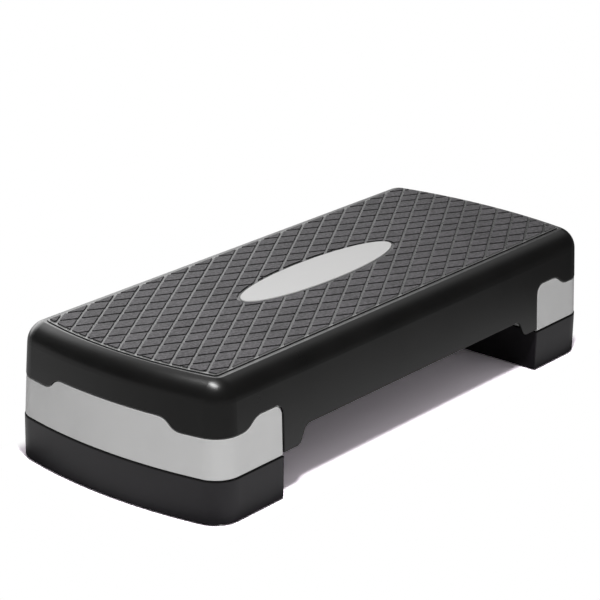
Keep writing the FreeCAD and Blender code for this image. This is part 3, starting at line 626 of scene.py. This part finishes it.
def screwTree(sizes):
    # Drawn with its head up, the head's top at z = 0; the shank hangs below.
    tree, start = newTree("crossHeadScrew", sizes)
    size = start.pick
    radius, tall = size("Head Radius"), size("Head Height")
    core = size("Shank Radius") - size("Thread Depth")
    rings = [(radius * wide, tall * -deep) for wide, deep in screw["head"]]
    head = ringed(start, screw["headVertices"], rings)
    bars = []
    arm, width, depth = size("Cross Length"), size("Cross Width"), size("Cross Depth")
    for long, wide in ((arm, width), (width, arm)):
        box = start.node("ShaderNodeCombineXYZ", inputs={"X": long, "Y": wide, "Z": depth * 2})
        bars.append(start.node("GeometryNodeMeshCube", inputs={"Size": box}))
    head = boolean("DIFFERENCE", bars, head)
    length = size("Shank Length")
    foot = (tall + length) * -1.0
    tip = foot + core * screw["tipLength"]
    shank = ringed(start, screw["headVertices"], [
        (core * screw["tipShare"], foot), (core, tip), (core, tall * -0.5)])
    turns = length / size("Thread Pitch") - screw["bareTurns"]
    coil = start.node("GeometryNodeCurveSpiral", inputs={
        "Resolution": screw["threadSteps"], "Rotations": turns, "Start Radius": core, "End Radius": core,
        "Height": length - screw["bareTurns"] * size("Thread Pitch")})
    ridge = start.node("GeometryNodeCurvePrimitiveCircle", inputs={
        "Resolution": screw["threadSides"], "Radius": size("Thread Depth")})
    thread = coil.node("GeometryNodeCurveToMesh", inputs={
        "Curve": coil, "Profile Curve": ridge, "Fill Caps": True})
    thread = moved(thread, z=tip)
    whole = joined(head, shank, thread)
    closeTree(endTree(onSpots(start, whole, screw["turn"]), finishes["screw"]))
    return tree


def makeScrews():
    nodes = [f"leg_screw_{i}_{end}" for end in ends for i in range(1, 5)]
    low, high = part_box(nodes[0])
    sizes = {
        "Head Radius": (high.x - low.x) / 2, "Head Height": screw["headHeight"],
        "Shank Radius": screw["shankRadius"], "Shank Length": high.z - low.z - screw["headHeight"],
        "Cross Length": screw["crossLength"], "Cross Width": screw["crossWidth"],
        "Cross Depth": screw["crossDepth"], "Thread Pitch": screw["threadPitch"],
        "Thread Depth": screw["threadDepth"],
    }
    piece = spotPiece("legScrews", nodes, 0.0)
    settle(runTree(piece, screwTree(sizes), sizes), "platform", nodes)


makeScrews()


# Stage and light

stage = {
    "floorSize": 14.0, "floorColour": grey(0.82), "floorSeen": (2.0, 1.84, 2.0, 1.0), "nearFloor": 0.0,
    "farFloor": 0.02, "mirrorBase": 0.08, "mirrorLeft": 0.17, "mirrorBack": 0.14, "mirrorClose": 0.5,
    "leftFrom": 0.6, "leftFull": -0.1, "backFrom": 0.05, "backFull": 0.31, "closeFrom": 0.05,
    "closeEdge": 0.03, "closeReach": 0.24, "ceiling": 0.04, "ceilingFoot": 0.42, "ceilingTop": 0.8,
    "backdrop": 3.2, "backdropTurn": math.radians(26), "backdropEdge": 0.83, "backdropMiddle": 0.96,
    "cove": 0.65, "coveEdge": 0.4, "coveLow": 0.36, "coveFoot": 0.55, "coveHigh": 0.72, "coveTop": 0.9,
    "ambient": 0.36, "poleGuard": 0.0001, "footInset": 8 * mm, "bowInset": 24 * mm, "footprintShade": grey(0.5),
}
lamps = (
    {"name": "keySoftbox", "place": (-0.6, -0.53, 1.44), "aim": (0.0, 0.0, 0.05), "long": 0.16,
     "wide": 0.16, "watts": 19.5, "mirrored": False},
    {"name": "ridgeStrip", "place": (-0.65, -0.1, 1.54), "aim": (-0.32, -0.12, 0.14), "long": 0.8,
     "wide": 0.09, "watts": 27.0, "mirrored": True},
)
view = {
    "azimuth": -51.7261, "elevation": 20.198, "roll": 1.1599, "distance": 2.52722, "aimHeight": 0.075,
    "aimRight": -0.01851, "aimUp": 0.03759, "lens": 138.243, "sensor": 36.0,
}


def makeFloor():
    half = stage["floorSize"] / 2
    mesh = bpy.data.meshes.new("studioFloor")
    corners = [(-half, -half, 0.0), (half, -half, 0.0), (half, half, 0.0), (-half, half, 0.0)]
    mesh.from_pydata(corners, [], [(0, 1, 2, 3)])
    floor = addPiece("studioFloor", mesh)
    material, spot = newFinish("paleFloor")
    rays = spot.node("ShaderNodeLightPath", output="Is Camera Ray")
    along, across = spot.axis("X"), spot.axis("Y")
    reach, breadth = cadBox[1][0], cadBox[1][1]
    pastEnd = (abs(along) - reach).larger(0.0)
    pastSide = (abs(across) - breadth).larger(0.0)
    away = pastEnd.math("SQRT", pastEnd * pastEnd + pastSide * pastSide)
    mirrored = rays.pick("Is Glossy Ray").larger(rays.pick("Is Transmission Ray"))
    # What glossy surfaces mirror: brighter to the left, to the back and close to the platform.
    level = stage["mirrorBase"] + along.ease(stage["leftFrom"], stage["leftFull"]) * stage["mirrorLeft"]
    level = level + across.ease(stage["backFrom"], stage["backFull"]) * stage["mirrorBack"]
    level = level + (1 - away.ease(stage["closeFrom"], stage["closeReach"])) * stage["mirrorClose"]
    level = level * away.ease(0.0, stage["closeEdge"])
    glow = spot.node("ShaderNodeEmission", inputs={
        "Color": grey(1.0), "Strength": rays + (1 - rays) * level})
    paper = spot.node("ShaderNodeBsdfDiffuse", inputs={
        "Color": rays.blend(stage["floorColour"], stage["floorSeen"])})
    mixed = spot.node("ShaderNodeMixShader", inputs={
        0: rays * away.ease(stage["nearFloor"], stage["farFloor"]) + mirrored, 1: paper, 2: glow})
    # Clear from below, and within the risers' footprints, so that a lowered riser shows; from above, what
    # shows through a footprint is tinted grey, a painted shade that matches the floor's shadow round it.
    low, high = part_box("riser_right")
    inset, along = stage["footInset"], abs(along)
    underRiser = (along > low.x + inset) * (along < high.x - stage["bowInset"])
    underRiser = underRiser * (abs(across) < high.y - inset)
    below = spot.node("ShaderNodeNewGeometry", output="Backfacing")
    tint = (underRiser * (1 - below)).blend(grey(1.0), stage["footprintShade"])
    clear = spot.node("ShaderNodeBsdfTransparent", inputs={"Color": tint})
    mixed = spot.node("ShaderNodeMixShader", inputs={
        0: underRiser.larger(below), 1: mixed, 2: clear})
    spot.node("ShaderNodeOutputMaterial", inputs={"Surface": mixed})
    material.cycles.emission_sampling = "NONE"
    mesh.materials.append(material)


def makeWorld():
    # White for the camera; glossy surfaces mirror a lit backdrop, the cove above it and a darker ceiling.
    world = bpy.data.worlds.new("studioWorld")
    bpy.context.scene.world = world
    world.use_nodes = True
    world.node_tree.nodes.clear()
    world.cycles.sampling_method = "NONE"
    aim = Wire(world.node_tree).node("ShaderNodeTexCoord", output="Generated")
    height = aim.axis("Z")
    flat = (1 - height * height).larger(stage["poleGuard"])
    flat = flat.math("SQRT", flat)

    def facing(turn):
        # 1 in the direction that lies a turn to the left of straight behind, seen from above.
        turn += math.radians(view["azimuth"])
        way = (-math.sin(turn), math.cos(turn), 0.0)
        along = aim.node("ShaderNodeVectorMath", {"operation": "DOT_PRODUCT"}, {0: aim, 1: way}, "Value")
        return along / flat

    backdrop = facing(stage["backdropTurn"]).ease(stage["backdropEdge"], stage["backdropMiddle"])
    backdrop = backdrop * (1 - height.ease(stage["ceilingFoot"], stage["ceilingTop"])) * stage["backdrop"]
    cove = facing(0.0).ease(stage["coveEdge"], 1.0) * height.ease(stage["coveLow"], stage["coveFoot"])
    cove = cove * (1 - height.ease(stage["coveHigh"], stage["coveTop"])) * stage["cove"]
    level = stage["ceiling"] + backdrop + cove
    camera = aim.node("ShaderNodeLightPath", output="Is Camera Ray")
    glossy = camera.pick("Is Glossy Ray")
    level = glossy * level + (1 - glossy) * stage["ambient"]
    level = camera + (1 - camera) * level
    background = aim.node("ShaderNodeBackground", inputs={"Color": grey(1.0), "Strength": level})
    aim.node("ShaderNodeOutputWorld", inputs={"Surface": background})


def makeLamps():
    for lamp in lamps:
        data = bpy.data.lights.new(lamp["name"], "AREA")
        data.shape = "RECTANGLE"
        data.size = lamp["long"]
        data.size_y = lamp["wide"]
        data.energy = lamp["watts"]
        item = bpy.data.objects.new(lamp["name"], data)
        item.location = lamp["place"]
        item.visible_glossy = lamp["mirrored"]
        item.visible_diffuse = not lamp["mirrored"]
        toAim = Vector(lamp["aim"]) - item.location
        item.rotation_euler = toAim.to_track_quat("-Z", "Y").to_euler()
        bpy.context.scene.collection.objects.link(item)


def makeCamera():
    turn, lift, roll = (math.radians(view[angle]) for angle in ("azimuth", "elevation", "roll"))
    back = Vector((math.sin(turn) * math.cos(lift), -math.cos(turn) * math.cos(lift), math.sin(lift)))
    right = (-back).cross(Vector((0, 0, 1))).normalized()
    up = right.cross(-back)
    right, up = right * math.cos(roll) + up * math.sin(roll), up * math.cos(roll) - right * math.sin(roll)
    place = Vector((0, 0, view["aimHeight"])) + back * view["distance"]
    place += right * view["aimRight"] + up * view["aimUp"]
    data = bpy.data.cameras.new("photoCamera")
    data.lens = view["lens"]
    data.sensor_width = view["sensor"]
    camera = bpy.data.objects.new("photoCamera", data)
    camera.matrix_world = Matrix.Translation(place) @ Matrix((right, up, back)).transposed().to_4x4()
    bpy.context.scene.collection.objects.link(camera)
    bpy.context.scene.camera = camera


makeFloor()
makeWorld()
makeLamps()
makeCamera()
bpy.context.scene.view_settings.view_transform = "Standard"
print("stage set")
